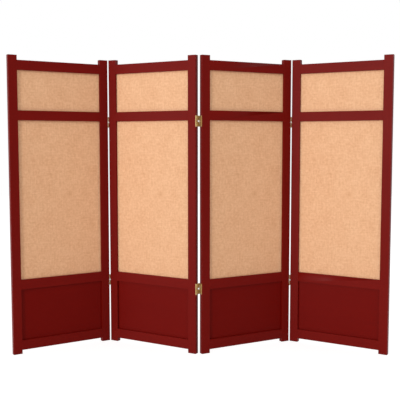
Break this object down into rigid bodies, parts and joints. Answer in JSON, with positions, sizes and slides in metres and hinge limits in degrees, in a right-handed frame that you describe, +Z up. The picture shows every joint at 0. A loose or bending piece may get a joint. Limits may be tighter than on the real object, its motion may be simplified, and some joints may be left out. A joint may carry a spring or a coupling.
{
  "type": "folding screen",
  "caption": "Folding screen with lacquered wood frames, jute cloth fields over wooden kick boards, and double-acting brass hinges, stood in a zigzag to divide a room.",
  "frame": {"origin": "centre of the footprint of the screen as it stands in the picture, on the floor", "axes": "+X along the line of the screen, to the viewer's right; +Y from its front to its back; +Z up"},
  "size_m": [1.5486, 0.2532, 1.2192],
  "materials": {
    "lacquered_wood": "satin red lacquer",
    "lacquered_board": "satin red lacquer",
    "jute_cloth": "plain woven",
    "brass_hinge": "satin",
    "brass_pin": "satin",
    "brass_screw": "satin"
  },
  "bodies": {
    "panel_1": {"panel_1_back_beads": "lacquered_wood", "panel_1_bottom_rail": "lacquered_wood", "panel_1_kick_board": "lacquered_board", "panel_1_left_stile": "lacquered_wood", "panel_1_lower_rail": "lacquered_wood", "panel_1_main_cloth": "jute_cloth", "panel_1_right_stile": "lacquered_wood", "panel_1_top_rail": "lacquered_wood", "panel_1_upper_cloth": "jute_cloth", "panel_1_upper_rail": "lacquered_wood", "hinge_12_left_leaves": "brass_hinge", "hinge_12_left_screws": "brass_screw"},
    "panel_2": {"panel_2_back_beads": "lacquered_wood", "panel_2_bottom_rail": "lacquered_wood", "panel_2_kick_board": "lacquered_board", "panel_2_left_stile": "lacquered_wood", "panel_2_lower_rail": "lacquered_wood", "panel_2_main_cloth": "jute_cloth", "panel_2_right_stile": "lacquered_wood", "panel_2_top_rail": "lacquered_wood", "panel_2_upper_cloth": "jute_cloth", "panel_2_upper_rail": "lacquered_wood", "hinge_12_right_leaves": "brass_hinge", "hinge_12_right_screws": "brass_screw", "hinge_23_left_leaves": "brass_hinge", "hinge_23_left_screws": "brass_screw"},
    "panel_3": {"panel_3_back_beads": "lacquered_wood", "panel_3_bottom_rail": "lacquered_wood", "panel_3_kick_board": "lacquered_board", "panel_3_left_stile": "lacquered_wood", "panel_3_lower_rail": "lacquered_wood", "panel_3_main_cloth": "jute_cloth", "panel_3_right_stile": "lacquered_wood", "panel_3_top_rail": "lacquered_wood", "panel_3_upper_cloth": "jute_cloth", "panel_3_upper_rail": "lacquered_wood", "hinge_23_right_leaves": "brass_hinge", "hinge_23_right_screws": "brass_screw", "hinge_34_left_leaves": "brass_hinge", "hinge_34_left_screws": "brass_screw"},
    "panel_4": {"panel_4_back_beads": "lacquered_wood", "panel_4_bottom_rail": "lacquered_wood", "panel_4_kick_board": "lacquered_board", "panel_4_left_stile": "lacquered_wood", "panel_4_lower_rail": "lacquered_wood", "panel_4_main_cloth": "jute_cloth", "panel_4_right_stile": "lacquered_wood", "panel_4_top_rail": "lacquered_wood", "panel_4_upper_cloth": "jute_cloth", "panel_4_upper_rail": "lacquered_wood", "hinge_34_right_leaves": "brass_hinge", "hinge_34_right_screws": "brass_screw"},
    "link_12": {"hinge_12_links": "brass_hinge", "hinge_12_pins": "brass_pin"},
    "link_23": {"hinge_23_links": "brass_hinge", "hinge_23_pins": "brass_pin"},
    "link_34": {"hinge_34_links": "brass_hinge", "hinge_34_pins": "brass_pin"}
  },
  "joints": [
    {"name": "fold_12_back", "type": "hinge", "parent": "panel_2", "child": "link_12", "pos_m": [-0.38448, 0.1247, 0], "axis": [0, 0, 1], "range_deg": [-180, 0]},
    {"name": "fold_12_front", "type": "hinge", "parent": "link_12", "child": "panel_1", "pos_m": [-0.39608, 0.10444, 0], "axis": [0, 0, 1], "range_deg": [-61.75, 118.25]},
    {"name": "fold_23_front", "type": "hinge", "parent": "panel_2", "child": "link_23", "pos_m": [-0.01743, -0.11233, 0], "axis": [0, 0, 1], "range_deg": [-170, 0]},
    {"name": "fold_23_back", "type": "hinge", "parent": "link_23", "child": "panel_3", "pos_m": [-0.00583, -0.09206, 0], "axis": [0, 0, 1], "range_deg": [-57.81, 122.19]},
    {"name": "fold_34_front", "type": "hinge", "parent": "panel_3", "child": "link_34", "pos_m": [0.39029, 0.09229, 0], "axis": [0, 0, -1], "range_deg": [-58.39, 121.61]},
    {"name": "fold_34_back", "type": "hinge", "parent": "link_34", "child": "panel_4", "pos_m": [0.4021, 0.11243, 0], "axis": [0, 0, -1], "range_deg": [-180, 0]}
  ]
}
